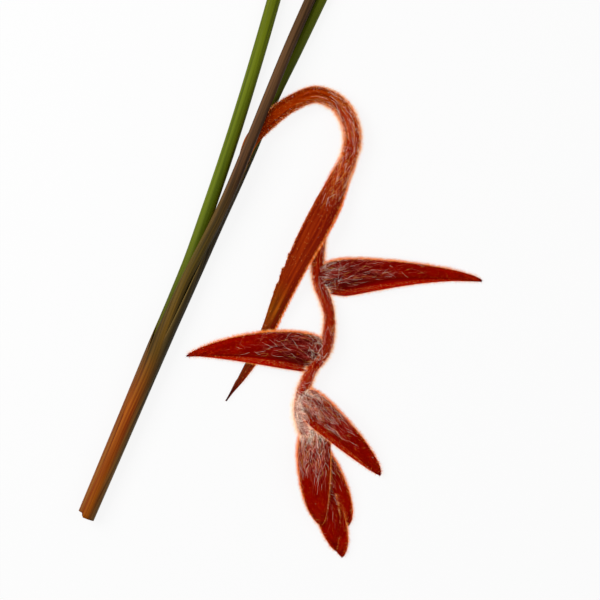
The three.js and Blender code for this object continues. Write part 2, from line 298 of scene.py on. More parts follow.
def fibres_on(tree, shader, depth, stretch, finest):
    """The fibre pattern on a piece that is marked with its metres along and round, with its bump."""
    node = tree.nodes.new("ShaderNodeGroup")
    node.node_tree = fibres
    tree.links.new(mark(tree, "along"), node.inputs["Along"])
    tree.links.new(mark(tree, "round"), node.inputs["Round"])
    node.inputs["Stretch"].default_value = stretch
    node.inputs["Finest"].default_value = finest
    bump = tree.nodes.new("ShaderNodeBump")
    bump.inputs["Strength"].default_value = 0.6
    bump.inputs["Distance"].default_value = depth
    tree.links.new(node.outputs["Height"], bump.inputs["Height"])
    tree.links.new(bump.outputs["Normal"], shader.inputs["Normal"])
    return node.outputs["Streaks"], node.outputs["Fibres"]


def stalk_finish(name, lit, deep, shade_side_lit, shade_side_deep):
    """A waxy fibrous stalk. lit and deep are its colours along it in light and dark streaks, as stops by the
    share of its length, and the second pair of colours takes over towards its right side; where it is darker,
    it is painted shade on the side away from the left light. Pale fibres lie over them, and the thin margins
    of a sheath have a papery colour."""
    material, tree, shader = new_material(name, roughness=0.5, gloss=0.07)
    streaks, fine = fibres_on(tree, shader, depth=0.25 * MM, stretch=0.02, finest=2600)
    share = mark(tree, "share")
    sharper = ramp(tree, streaks, [(0.36, "000000"), (0.64, "ffffff")])
    body = blend_colours(tree, sharper, ramp(tree, share, deep), ramp(tree, share, lit))
    # Painted shade: the second pair of colours, darker where given so, covers the stalk's right side, away
    # from the left light.
    edge = blend_colours(tree, sharper, ramp(tree, share, shade_side_deep), ramp(tree, share, shade_side_lit))
    side = ramp(tree, mark(tree, "side"), [(0.62, "000000"), (0.95, "ffffff")])
    both = blend_colours(tree, side, body, edge)
    pale = ramp(tree, fine, [(0.6, "000000"), (0.78, "505050")])
    fibrous = blend_colours(tree, pale, both, colour("94783c"))
    papery = blend_colours(tree, mark(tree, "paper"), fibrous, ramp(tree, share, papery_edge))
    tree.links.new(papery, shader.inputs["Base Color"])
    return material


green_places = (0, 0.3, 0.42, 0.6, 1)
green = stops(green_places, "8c5418 6c5c14 60680a 6a7810 6a7408")
green_deep = stops(green_places, "703404 4c4408 444c02 4e5c06 4a5402")
brown_places = (0, 0.2, 0.3, 0.48, 0.64, 1)
brown = stops(brown_places, "9c5404 a85808 745014 645018 6c482c 644628")
brown_deep = stops(brown_places, "7c3200 7c2a00 3a2808 3c300a 402812 382410")
# Painted shade: darker colours for the brown stalk's right side, away from the left light.
brown_shade_side = stops(brown_places, "5c3c14 5c3a10 3c2c10 443a18 4c3424 4a3424")
brown_shade_side_deep = stops(brown_places, "382004 341c04 201808 241c08 241408 2c1c10")
outer_places = (0, 0.22, 0.32, 0.5, 0.72, 1)
outer = stops(outer_places, "94581c 945418 604820 4c3c18 585e04 5c6404")
outer_deep = stops(outer_places, "703404 6c2e00 342608 281e08 3c4400 404c00")
# Painted shade: darker colours for the outer sheath's right side, away from the left light.
dark_places = (0, 0.2, 0.34, 0.66, 0.76, 1)
outer_shade_side = stops(dark_places, "745020 5c4820 443c20 342820 585e04 5c6404")
outer_shade_side_deep = stops(dark_places, "402804 2c240c 1c1808 140c08 3c4400 404c00")
papery_edge = stops((0, 0.26, 0.36, 1), "6c1c00 6c1c00 7c6430 7c6430")

# Rows along each leaf stalk, in millimetres: distance from the cut end, distance right of the stem's middle
# line, height of the middle, half width, half height and wall. The last two are the margins of the sheath in
# degrees, where 0 is right and 90 is up.
leaf_stalks = {
    "leaf_stalk_left": [
        [0, -1, 7.56, 4.5, 4.5, 1.4, -70, 235],
        [108, -1.8, 8.5, 5.1, 5.1, 1.6, -75, 240],
        [150, -3, 8.3, 5.3, 5.2, 2.2, -80, 245],
        [172, -4.1, 7.9, 5.6, 5.1, 2.8, -85, 250],
        [200, -4.4, 7.2, 5.6, 5, 3.4, -85, 250],
        [237, -4.9, 5.9, 5.8, 5.3, 4.6, -88, 264],
        [272, -7.1, 5.4, 5.8, 5.3, 5, -88, 266],
        [345, -12.7, 5.3, 5.8, 5.3, 5, -88, 266],
        [415, -20, 5.3, 5.8, 5.3, 5, -88, 266],
        [491, -29.4, 5.3, 5.8, 5.3, 5, -88, 266],
    ],
    "leaf_stalk_front": [
        [0, -1, 9.5, 6.05, 6.05, 1.4, -110, 195],
        [90, -1.2, 10.4, 6.6, 6.6, 1.5, -110, 195],
        [144, -1.4, 11.3, 7.2, 7.2, 1.6, -110, 192],
        [187, -1.7, 11.5, 5.4, 6.6, 1.9, -115, 186],
        [218, -1.5, 11.8, 4.7, 6, 2.4, -110, 192],
        [249, 0.8, 13.5, 4.7, 5.5, 3.4, -100, 225],
        [277, 3, 15, 4.9, 4.9, 4.5, -90, 262],
        [352, 3.2, 18.6, 4.6, 4.4, 4.2, -88, 266],
        [387, 2.5, 18.2, 4.6, 4.4, 4.2, -88, 266],
        [430, 1.8, 15.4, 4.6, 4.4, 4.2, -88, 266],
        [505.5, 2.4, 10.9, 4.4, 4.4, 4.2, -88, 266],
    ],
    "leaf_stalk_back": [
        [0, -1, 7.56, 7.56, 7.56, 1.4, 112, 432],
        [88, -1.05, 8.4, 8.35, 8.35, 1.5, 118, 431],
        [131, -1.1, 8.8, 8.75, 8.75, 1.5, 124, 440],
        [158, -1.1, 9, 9, 9, 1.5, 146, 439],
        [178, -0.9, 8.8, 9, 8.8, 1.5, 178, 432],
        [205, -0.5, 8.4, 9.1, 8.4, 1.5, 206, 426],
        [240, 0.8, 7.6, 8.4, 7.6, 1.5, 232, 424],
        [280, 2.6, 6.6, 7.2, 6.6, 1.5, 240, 418],
        [315, 4, 4.9, 6.6, 4.9, 1.8, 244, 412],
        [342, 4.9, 4.3, 6.0, 4.3, 2.4, 246, 430],
        [368, 5.5, 3.3, 5.3, 3.2, 2.6, 262, 606],
        [395, 5.8, 3.7, 5.1, 3.6, 3.2, 272, 626],
        [430, 7.8, 5, 5.1, 5, 4.6, 272, 626],
        [500, 10.9, 5, 5.1, 5, 4.6, 272, 626],
    ],
}

torn_place = 335 * MM
torn_spread = 18 * MM
torn_turn = 14  # degrees by which the torn margin comes and goes
inside_shift = 20 * MM  # keeps the fibres of the inside from mirroring those of the outside


def sheath(rows, torn):
    """A rolled sheath that closes to a rod. Each ring runs along an ellipse from one margin to the other and
    back inside it at the wall's depth, and thins to a papery edge at both margins. Fine ribs stand on the
    outside. The far margin comes and goes by torn degrees round the torn place."""
    rows = np.array(rows, float)
    rows[:, :6] *= MM
    stations = rows[:, 0]
    at = np.linspace(stations[0], stations[-1], stem_rings)
    columns = follow(stations, rows, at).T[:, :, None]
    _, aside, height, half_width, half_height, wall, low, high = columns
    share = np.linspace(0, 1, stem_columns)[None, :]
    jag = np.sin(at * 900) + 0.6 * np.sin(at * 2300 + 1)
    reach = (torn * jag * np.exp(-(((at - torn_place) / torn_spread) ** 2)))[:, None]
    angle = np.radians(low + (high + reach - low) * share)
    edge = np.minimum(share, 1 - share)
    paper = np.minimum(1, 0.25 + 9 * edge)
    ribs = 1 + 0.007 * np.sin(angle * 31) + 0.006 * np.sin(angle * 17 + at[:, None] * 20)
    depth = np.minimum(wall * paper, 0.93 * np.minimum(half_width, half_height))
    turned = np.stack([np.cos(angle), np.sin(angle)], -1)
    outside = np.stack([half_width * ribs, half_height * ribs], -1) * turned
    inside = np.stack([half_width - depth, half_height - depth], -1) * turned
    ring = np.concatenate([outside, inside[:, ::-1]], axis=1)
    middle = np.append(cut_end, 0) + at[:, None, None] * along_stem + aside[..., None] * right_of_stem
    grid = middle + ring[..., :1] * right_of_stem + (height[..., None] + ring[..., 1:]) * UP
    swept = np.concatenate([angle, angle[:, ::-1]], axis=1)
    marks = {
        "along": at[:, None],
        "share": (at / stations[-1])[:, None],
        "round": swept * half_width + inside_shift * (np.arange(2 * stem_columns) >= stem_columns),
        "side": 0.5 + 0.5 * np.cos(swept),
        "paper": np.exp(-((np.concatenate([edge, edge[:, ::-1]], axis=1) / 0.02) ** 2)),
    }
    return grid, marks


green_finish = stalk_finish("green_stalk", green, green_deep, green, green_deep)
brown_finish = stalk_finish("brown_stalk", brown, brown_deep, brown_shade_side, brown_shade_side_deep)
outer_finish = stalk_finish("outer_sheath", outer, outer_deep, outer_shade_side, outer_shade_side_deep)
stalk_finishes = {
    "leaf_stalk_left": (green_finish, "green_stalk"),
    "leaf_stalk_front": (brown_finish, "brown_stalk"),
    "leaf_stalk_back": (outer_finish, "green_stalk"),
}
# The left side of the cut end is chipped back by a few millimetres.
chip_depth = 3.2 * MM
chip_reach = 12 * MM
for node, rows in leaf_stalks.items():
    grid, marks = sheath(rows, torn_turn if node == "leaf_stalk_back" else 0)
    fade = 1 - smooth(0, chip_reach, marks["along"])
    chip = chip_depth * fade * (1 - smooth(0.22, 0.36, marks["side"]))
    grid = grid + chip[..., None] * along_stem
    piece = skin(node + "_skin", grid, marks)
    finish, slot = stalk_finishes[node]
    piece.data.materials.append(finish)
    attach(piece, "root")
    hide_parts(node)

# ---------------------------------------------------------------- the flower stalk
# One grown piece: the core of the stem, a thick arch, and the zigzag axis that carries the bracts. Its skin
# is covered in short upright hair, with longer pale strands combed along the bend.

leaves_stem_at = 352 * MM
leaves_stem_aside = 3.6 * MM
leaves_stem_height = 11 * MM
arch_span = 81 * MM
arch_rise = 37.5 * MM
arch_radius = 6.8 * MM
axis_radius = 4.9 * MM
core_radius = 3.6 * MM
stem_radius = 9 * MM
stalk_rings = 300
stalk_columns = 64


def in_stem(along, aside, height):
    """A point by its distance along the stem, its distance right of the middle line, and its height."""
    return np.append(cut_end, height) + along * along_stem + aside * right_of_stem


stalk_exit = in_stem(leaves_stem_at, leaves_stem_aside, leaves_stem_height)


def on_arch(span_share, rise_share, height):
    """A point of the arch by shares of its span and its rise, at a height."""
    return np.array([stalk_exit[0] + span_share * arch_span, stalk_exit[1] + rise_share * arch_rise, height])


def heading(degrees):
    """A unit vector, turned anticlockwise from +X."""
    return np.array([np.cos(np.radians(degrees)), np.sin(np.radians(degrees)), 0])


def left_of(direction):
    """The vector to the left of a direction, level with the floor."""
    return np.array([-direction[1], direction[0], 0])


# The stretches of the zigzag axis: length, heading in degrees, bow to the left, and height at the far end.
# Lengths are in millimetres.
axis_stretches = [
    (102.5, -104.2, -7.6, 5.6),
    (62.3, -85.3, 6.4, 8),
    (40.1, -117.1, -2, 10),
    (32.3, -88.4, -4, 10),
    (17.1, -63.6, 0, 9),
    (16.1, -71.6, 0, 8),
    (16.1, -71.6, 0, 7),
]
nodes = [on_arch(1, -0.483, arch_radius + 0.4 * MM)]
bows = []
for length, degrees, bow, height in axis_stretches:
    end = nodes[-1] + length * MM * heading(degrees)
    end[2] = height * MM
    bows.append(nodes[-1] + 0.55 * (end - nodes[-1]) + bow * MM * left_of(heading(degrees)))
    nodes.append(end)

lying = arch_radius + 0.5 * MM  # height of the arch's middle where it lies on the floor
# Places along the middle of the stalk, each with the radius there.
stalk_places = [
    (in_stem(0, -1 * MM, stem_radius * 0.84), core_radius * 0.84),
    (in_stem(110 * MM, -1 * MM, stem_radius * 0.96), core_radius * 0.95),
    (in_stem(200 * MM, -0.4 * MM, stem_radius), core_radius),
    (in_stem(270 * MM, 3 * MM, 9 * MM), core_radius),
    (in_stem(320 * MM, 4.4 * MM, 10.2 * MM), core_radius * 1.05),
    (stalk_exit, arch_radius * 0.88),
    (on_arch(0.16, 0.38, 10.4 * MM), arch_radius * 0.98),
    (on_arch(0.41, 0.8, 8.4 * MM), arch_radius),
    (on_arch(0.67, 1, lying + 0.4 * MM), arch_radius * 1.01),
    (on_arch(0.88, 0.815, lying), arch_radius * 1.03),
    (on_arch(1.015, 0.38, lying), arch_radius * 1.07),
    (on_arch(1.045, -0.05, lying + 0.4 * MM), arch_radius * 1.07),
    (nodes[0], arch_radius),
    (bows[0], axis_radius),
    (nodes[1], axis_radius * 1.15),
    (bows[1], axis_radius * 0.95),
    (nodes[2], axis_radius * 1.15),
    (bows[2], axis_radius * 0.95),
    (nodes[3], axis_radius * 1.1),
    (bows[3], axis_radius * 0.9),
    (nodes[4], axis_radius),
    (nodes[5], axis_radius * 0.85),
    (nodes[6], axis_radius * 0.7),
    (nodes[7], axis_radius * 0.5),
]


def tube(places, rings, columns, ripple):
    """A tube along a path through places that each have a radius. Its sections stand square to the path.
    ripple is the share by which lengthwise ribs lift the skin."""
    points = np.array([place for place, _ in places])
    radii = np.array([radius for _, radius in places])
    steps = np.linalg.norm(np.diff(points, axis=0), axis=1)
    stations = np.append(0, np.cumsum(steps))
    at = np.linspace(0, stations[-1], rings)
    line = follow(stations, points, at)
    radius = follow(stations, radii, at)
    forward = np.gradient(line, at, axis=0)
    forward /= np.linalg.norm(forward, axis=1)[:, None]
    side = np.cross(forward, UP)
    side /= np.linalg.norm(side, axis=1)[:, None]
    upward = np.cross(side, forward)
    angle = np.linspace(0, 2 * np.pi, columns, endpoint=False)[None, :]
    ribs = np.sin(angle * 9 + at[:, None] * 25) + 0.7 * np.sin(angle * 16 - at[:, None] * 40)
    reach = (radius[:, None] * (1 + ripple * ribs))[..., None]
    spread = np.cos(angle)[..., None] * side[:, None] + np.sin(angle)[..., None] * upward[:, None]
    grid = line[:, None] + reach * spread
    marks = {
        "along": at[:, None],
        "share": (at / at[-1])[:, None],
        "round": angle * radius[:, None],
    }
    return grid, marks


def fur_skin(name, light, dark):
    """A matt skin under hair: two runs of colours along it, mixed in streaks."""
    material, tree, shader = new_material(name, roughness=0.8, gloss=0)
    streaks, fine = fibres_on(tree, shader, depth=0.35 * MM, stretch=0.05, finest=1700)
    share = mark(tree, "share")
    sharper = ramp(tree, streaks, [(0.4, "000000"), (0.6, "ffffff")])
    body = blend_colours(tree, sharper, ramp(tree, share, dark), ramp(tree, share, light))
    speck = ramp(tree, fine, [(0.46, "000000"), (0.7, "909090")])
    tree.links.new(blend_colours(tree, speck, body, ramp(tree, share, light)), shader.inputs["Base Color"])
    return material


# Colours by share of the stalk's length: hidden core, orange start of the arch, redder bend, deep red axis.
stalk_shares = (0, 0.42, 0.46, 0.55, 0.6, 1)
stalk_light = stops(stalk_shares, "b89858 a8742c a43402 ac3c04 a42a08 a01c0c")
stalk_dark = stops(stalk_shares, "987838 885018 701800 701400 780a00 6c0604")
grid, marks = tube(stalk_places, stalk_rings, stalk_columns, 0.02)
flower_stalk = skin("flower_stalk_skin", grid, marks)
flower_stalk.data.materials.append(fur_skin("stalk_skin", stalk_light, stalk_dark))
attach(flower_stalk, "root")
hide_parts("flower_stalk")


def hair_paint(name, code, glow):
    """Dry matt hair of one colour. Its glow stands for the light that comes through it."""
    material, _, shader = new_material(name, roughness=0.8, gloss=0)
    shader.inputs["Base Color"].default_value = colour(code)
    shader.inputs["Emission Color"].default_value = colour(code)
    shader.inputs["Emission Strength"].default_value = glow
    return material


hair_paints = {
    "maroon": hair_paint("hair_maroon", "540606", 0.0),
    "deep_red": hair_paint("hair_deep_red", "900600", 0.0),
    "red": hair_paint("hair_red", "b81800", 0.05),
    "orange": hair_paint("hair_orange", "e86006", 0.3),
    "apricot": hair_paint("hair_apricot", "fcb45c", 0.45),
    "cream": hair_paint("hair_cream", "fff0dc", 0.4),
    "rose": hair_paint("hair_rose", "e87464", 0.3),
}
hair_floor_gap = 0.15 * MM  # no hair comes nearer to the floor
rng = np.random.default_rng(11)


def sample(grid, ring_at, column_at):
    """Points of a grid at fractional rings and columns, each blended from the four points round it. Past the
    last ring it carries on straight."""
    ring = np.clip(ring_at.astype(int), 0, grid.shape[0] - 2)
    column = np.clip(column_at.astype(int), 0, grid.shape[1] - 2)
    past_ring = (ring_at - ring)[..., None]
    past_column = (column_at - column)[..., None]
    near = grid[ring, column] * (1 - past_ring) + grid[ring + 1, column] * past_ring
    far = grid[ring, column + 1] * (1 - past_ring) + grid[ring + 1, column + 1] * past_ring
    return near * (1 - past_column) + far * past_column


def outward(grid):
    """Unit normals of a grid, turned away from the middle of each ring, with the lengths of its two steps."""
    ring_step = np.gradient(grid, axis=0)
    column_step = np.gradient(grid, axis=1)
    normal = np.cross(ring_step, column_step)
    normal /= np.linalg.norm(normal, axis=-1, keepdims=True) + 1e-12
    away = np.einsum("ijk,ijk->ij", normal, grid - grid.mean(axis=1, keepdims=True))
    if away[:, : grid.shape[1] // 2].mean() < 0:
        normal = -normal
    lengths = [np.linalg.norm(ring_step, axis=-1), np.linalg.norm(column_step, axis=-1)]
    return normal, np.stack(lengths, -1) + 1e-7


def strands(grid, density, count, run, lift, slant, thickness=0.13, joints=2, arched=False):
    """Hairs rooted at random on a grid, more where density is high. Each runs a length along the skin, turned
    from the grid's lengthwise lines by an angle whose spread is the slant. It lifts off by a share of its
    lift that grows along it, or that rises and falls when it is arched. Run, lift and thickness are in
    millimetres. Returns points as hair, joint, place, the thicknesses, and the columns of the roots."""
    normal, steps = outward(grid)
    weight = density[:-1, :-1] * steps[:-1, :-1, 0] * steps[:-1, :-1, 1]
    cell = rng.choice(weight.size, size=count, p=weight.ravel() / weight.sum())
    root_ring = cell // weight.shape[1] + rng.random(count)
    root_column = cell % weight.shape[1] + rng.random(count)
    step = sample(steps, root_ring, root_column)
    length = rng.uniform(run[0] * MM, run[1] * MM, count)
    turn = rng.normal(0, slant, count)
    height = rng.uniform(lift[0] * MM, lift[1] * MM, count)
    part = np.linspace(0, 1, joints)[None, :]
    curl = rng.normal(0, 0.25, count)[:, None] * part
    go_rings = (length * np.cos(turn) / step[:, 0])[:, None] * part
    go_columns = (length * np.sin(turn) / step[:, 1])[:, None] * (part + curl)
    ring_at = root_ring[:, None] + go_rings
    column_at = np.clip(root_column[:, None] + go_columns, 0, grid.shape[1] - 1.001)
    rise = np.sin(np.pi * np.clip(part, 0, 0.93)) * 0.8 + 0.1 if arched else part**0.8
    upright = sample(normal, ring_at.clip(0, grid.shape[0] - 1), column_at)
    line = sample(grid, ring_at, column_at) + upright * (height[:, None] * rise)[..., None]
    return line, thickness * MM * rng.uniform(0.7, 1.2, count), root_column


def strand_faces(joints):
    """The triangles of one three-sided strand that ends in a point, with its root closed."""
    sides = []
    for joint in range(joints - 2):
        for corner in range(3):
            here, beside = 3 * joint + corner, 3 * joint + (corner + 1) % 3
            sides += [(here, beside, beside + 3), (here, beside + 3, here + 3)]
    last = 3 * (joints - 2)
    sides += [(last + corner, last + (corner + 1) % 3, last + 3) for corner in range(3)]
    return np.array(sides + [(0, 2, 1)])


def strand_tubes(line, thickness):
    """Points of tapered three-sided strands along lines, and their triangles."""
    count, joints, _ = line.shape
    forward = np.gradient(line, axis=1)
    forward /= np.linalg.norm(forward, axis=-1, keepdims=True) + 1e-12
    side = np.cross(forward, np.array([0.31, 0.17, 0.94]))
    side /= np.linalg.norm(side, axis=-1, keepdims=True) + 1e-12
    other = np.cross(forward, side)
    taper = (1 - np.linspace(0, 1, joints)[:-1] ** 2)[None, :, None, None]
    angle = np.array([0, 2, 4]) * np.pi / 3
    spread = np.cos(angle)[:, None] * side[:, :-1, None] + np.sin(angle)[:, None] * other[:, :-1, None]
    rings = line[:, :-1, None] + spread * taper * (thickness / 2)[:, None, None, None]
    points = np.concatenate([rings.reshape(count, -1, 3), line[:, -1:]], axis=1)
    faces = strand_faces(joints)
    offsets = np.arange(count)[:, None, None] * points.shape[1]
    return points.reshape(-1, 3), (faces[None] + offsets).reshape(-1, 3), len(faces)


def coat(name, layers):
    """One piece of hair from layers of strands. A layer is its lines, its thicknesses and the paint number of
    each of its hairs. Nothing sinks into the floor."""
    points, faces, paints, start = [], [], [], 0
    for line, thickness, paint in layers:
        some, triangles, each = strand_tubes(line, thickness)
        points.append(some)
        faces.append(triangles + start)
        paints.append(np.repeat(paint, each))
        start += len(some)
    points = np.concatenate(points)
    points[:, 2] = np.maximum(points[:, 2], hair_floor_gap)
    piece = mesh_of(name, points, np.concatenate(faces), np.concatenate(paints))
    for material in hair_paints.values():
        piece.data.materials.append(material)
    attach(piece, "root")


def paint_mix(count, shares):
    """A paint number for each hair, drawn by the shares of the named paints."""
    weights = np.array([shares.get(paint, 0) for paint in hair_paints], float)
    return rng.choice(len(weights), size=count, p=weights / weights.sum())


def hair_layer(grid, density, count, shares, **form):
    """A layer of a coat: strands of the given form, and a paint for each."""
    line, thickness, _ = strands(grid, density, count, **form)
    return line, thickness, paint_mix(count, shares)


# The stalk's grid goes on for half a turn past its seam, so that hairs may cross the seam. Places along it
# are shares of its rings.
wrapped = np.concatenate([grid, grid[:, : stalk_columns // 2]], axis=1)
share = np.linspace(0, 1, stalk_rings)[:, None] * np.ones((1, wrapped.shape[1]))
arch_start = 0.452  # where the stalk comes out of the stem
arch_bend = 0.56  # where the arch turns down
combed_place = 0.575  # where most of the long combed strands grow
tuft_place = 0.917  # where cottony hair fills the fork of the third and fourth bracts
free = smooth(arch_start, arch_start + 0.015, share)
past_bend = smooth(arch_bend - 0.05, arch_bend + 0.03, share)
tufted = np.exp(-(((share - tuft_place) / 0.018) ** 2))
combed = np.exp(-(((share - combed_place) / 0.03) ** 2)) + 0.12 * past_bend
flank = np.cos(2 * np.pi * np.arange(wrapped.shape[1]) / stalk_columns) ** 4
arch_fuzz = dict(deep_red=3, red=8, orange=5, apricot=1)
axis_fuzz = dict(deep_red=5, red=8, orange=4, apricot=1, rose=1)
# The halo paints are pale, glowing hair for the flanks, the sides seen from above: partly the hair's own pale
# colour, partly a painted halo of backlight and painted highlights.
arch_painted_halo = dict(red=1, orange=6, apricot=9, cream=4)
axis_painted_halo = dict(orange=3, apricot=8, cream=7)
combed_hair = dict(red=2, orange=3, apricot=5, cream=4, rose=3)
cotton = dict(apricot=0.5, cream=9, rose=0.5)
layers = [
    hair_layer(
        wrapped, free * (1.02 - past_bend), 8000, arch_fuzz, run=(0.3, 1.2), lift=(0.8, 1.6), slant=0.9
    ),
    hair_layer(wrapped, past_bend, 9000, axis_fuzz, run=(0.3, 1.4), lift=(0.8, 2.2), slant=0.9),
    # This layer and the next mass pale glowing hair on the flanks: partly the hair's own colour, partly a
    # painted halo of backlight.
    hair_layer(wrapped, free * flank, 9000, arch_painted_halo, run=(0.3, 1.3), lift=(1.2, 2.9), slant=0.9),
    hair_layer(
        wrapped,
        past_bend * (flank + 0.06),
        10500,
        axis_painted_halo,
        run=(0.3, 1.8),
        lift=(2.2, 4.8),
        slant=0.9,
        thickness=0.12,
    ),
    hair_layer(
        wrapped,
        combed,
        900,
        combed_hair,
        run=(6, 13),
        lift=(0.4, 1.8),
        slant=0.22,
        thickness=0.1,
        joints=6,
        arched=True,
    ),
    hair_layer(
        wrapped,
        tufted,
        850,
        cotton,
        run=(3, 9),
        lift=(1.5, 5),
        slant=1.3,
        thickness=0.11,
        joints=5,
        arched=True,
    ),
]
coat("flower_stalk_hair", layers)

# ---------------------------------------------------------------- the long empty bract
# The bract at the foot of the flower is a leathery strap. It clasps the end of the arch, lies over the axis
# with a fold along it, passes under the second bract, and dries to a thin dark tip.

strap_heading = heading(-116.9)
strap_length = 230 * MM
strap_width = 23.5 * MM
strap_wall = 1.3 * MM
strap_rings = 150
strap_columns = 36
strap_fold = 0.6  # the crease, as a share of the way from the middle to the edge on the side of +X
clasp_turn = np.radians(100)  # how far round the arch the clasp reaches on each side
over_axis = nodes[1][2] + axis_radius + 3.4 * MM

# Edges by share of the length, as shares of the width: on the side of +X from the chord, and on the other.
strap_rows = [
    [0, 0.42, 0.42],
    [0.07, 0.5, 0.37],
    [0.17, 0.57, 0.39],
    [0.27, 0.57, 0.41],
    [0.4, 0.47, 0.37],
    [0.54, 0.43, 0.26],
    [0.7, 0.43, 0.03],
    [0.84, 0.36, -0.12],
    [0.91, 0.23, -0.08],
    [0.97, 0.08, -0.01],
    [1, 0.03, 0.02],
]


def strap_grid():
    """A strap's section: across runs from -1 at its left edge to 1 at its right edge, on the side of +X. It
    is a ring's upper arc at the clasp, and flattens to a shallow channel whose right edge folds down along a
    crease. The underside follows at the wall's depth."""
    at = np.linspace(0, 1, strap_rings)
    rows = np.array(strap_rows)
    right, left = follow(rows[:, 0], rows[:, 1:], at).T[:, :, None] * strap_width
    across = np.linspace(-1, 1, strap_columns)[None, :]
    jag = 0.9 * np.sin(at * 95) + 0.8 * np.sin(at * 213 + 2) + 0.5 * np.sin(at * 420)
    ragged = (jag * 0.6 * MM * np.exp(-(((at - 0.46) / 0.09) ** 2)))[:, None]
    left = left + ragged
    flat = np.where(across > 0, right, left) * across
    drop = np.maximum(across - strap_fold, 0) / (1 - strap_fold)
    crease = np.exp(-(((across - strap_fold) / 0.07) ** 2))
    channel = 1.1 * MM * across**2 - 0.5 * MM * crease - 2.6 * MM * drop**1.5
    wave = 0.5 * MM * np.sin(at * 31)[:, None] * across
    clasp = 1 - smooth(0.0, 0.2, at)[:, None]
    angle = across * clasp_turn
    hold = arch_radius + (0.1 + 0.9 * smooth(0, 0.1, at)[:, None]) * MM
    wide = clasp * hold * np.sin(angle) + (1 - clasp) * flat
    thin = 1 - 0.55 * at[:, None]
    tall = clasp * (hold * np.cos(angle) - 1.5 * MM) + (1 - clasp) * (channel + wave) * thin
    middle_heights = [nodes[0][2] + 0.8 * MM, over_axis, over_axis, 3.4 * MM, 2.6 * MM]
    places = [0, 0.24, 0.45, 0.72, 1]
    level = np.interp(at, places, middle_heights)
    window = 17  # rings over which the level is eased
    eased = np.convolve(np.pad(level, window // 2, "edge"), np.ones(window) / window, "valid")[:, None]
    chord = nodes[0] * np.array([1, 1, 0]) + (at[:, None] * strap_length * strap_heading)
    right_hand = left_of(strap_heading)
    top = chord[:, None] + wide[..., None] * right_hand + (eased + tall)[..., None] * UP
    normal = np.cross(np.gradient(top, axis=0), np.gradient(top, axis=1))
    normal /= np.linalg.norm(normal, axis=-1, keepdims=True) + 1e-12
    normal *= np.sign(normal[..., 2].mean())
    wall = (strap_wall * (1 - 0.7 * at[:, None]) * (1 - 0.75 * across**6))[..., None]
    under = top - normal * wall
    return top, np.concatenate([top, under[:, ::-1]], axis=1), at, across


top, grid, at, across = strap_grid()
both_ways = np.concatenate([across, across[:, ::-1]], axis=1)
marks = {
    "along": (at * strap_length)[:, None],
    "share": at[:, None],
    "round": both_ways * strap_width / 2,
    "side": 0.5 + 0.5 * both_ways,
}
strap = skin("basal_bract_skin", grid, marks)


def strap_finish():
    """Leathery orange-brown with lengthwise streaks, a dry ochre patch, a dark red right margin, pale brown
    specks and a dark tip."""
    material, tree, shader = new_material("strap_skin", roughness=0.65, gloss=0.03)
    streaks, fine = fibres_on(tree, shader, depth=0.3 * MM, stretch=0.04, finest=1500)
    share = mark(tree, "share")
    places = (0, 0.15, 0.5, 0.62, 0.72, 0.92, 1)
    light = stops(places, "a42c04 9c2c04 9a2e02 a45008 943804 80300c 34040c")
    dark = stops(places, "801400 781200 741600 642c02 681c00 541404 200208")
    sharper = ramp(tree, streaks, [(0.38, "000000"), (0.62, "ffffff")])
    body = blend_colours(tree, sharper, ramp(tree, share, dark), ramp(tree, share, light))
    to_margin = [(0.72, "000000"), (0.8, "e0e0e0"), (0.92, "b0b0b0"), (1, "303030")]
    red = blend_colours(tree, ramp(tree, mark(tree, "side"), to_margin), body, colour("680400"))
    speck = ramp(tree, fine, [(0.6, "000000"), (0.76, "606060")])
    tree.links.new(blend_colours(tree, speck, red, colour("b45c28")), shader.inputs["Base Color"])
    return material


strap.data.materials.append(strap_finish())
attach(strap, "root")
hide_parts("basal_bract")

share = at[:, None] * np.ones_like(across)
right_margin = smooth(0.8, 0.97, across) * (1 - smooth(0.86, 0.95, share))
margins = right_margin + 0.45 * smooth(0.86, 0.98, -across)
sparse = 0.035 * (1 - smooth(0.1, 0.3, share)) + 0.008  # a few hairs all over, and more near the clasp
edge_hair = margins * (0.25 + 0.75 * (1 - smooth(0.75, 0.9, share))) + sparse
clasp_hair = 1 - smooth(0.03, 0.2, share) + 0.001
edge_paints = dict(deep_red=1, red=3, orange=9, apricot=5, cream=0.5)
clasp_paints = dict(red=3, orange=5, apricot=4, cream=2, rose=2)
strap_joints = 4
layers = []
for density, count, run, lift, paints in (
    (edge_hair, 6500, (0.4, 1.4), (0.2, 1.6), edge_paints),
    (clasp_hair, 170, (5, 12), (0.4, 1.4), clasp_paints),
):
    line, thickness, column = strands(top, density, count, run, lift, slant=0.3, joints=strap_joints)
    # Tips near an edge stand out past it.
    reach = column / (strap_columns - 1) * 2 - 1
    push = np.sign(reach) * smooth(0.75, 1, np.abs(reach)) * rng.uniform(0.6, 2.0, count) * MM
    aside = (push[:, None] * np.linspace(0, 1, strap_joints))[..., None] * left_of(strap_heading)
    layers.append((line + aside, thickness, paint_mix(count, paints)))
coat("basal_bract_hair", layers)

# ---------------------------------------------------------------- the seven bracts
# Each is a stiff boat, folded along its back, with one flap that lies over the other and leaves a strip of
# the far flap's inside showing along the open side. Velvet covers it, and long pale hair mats its base.

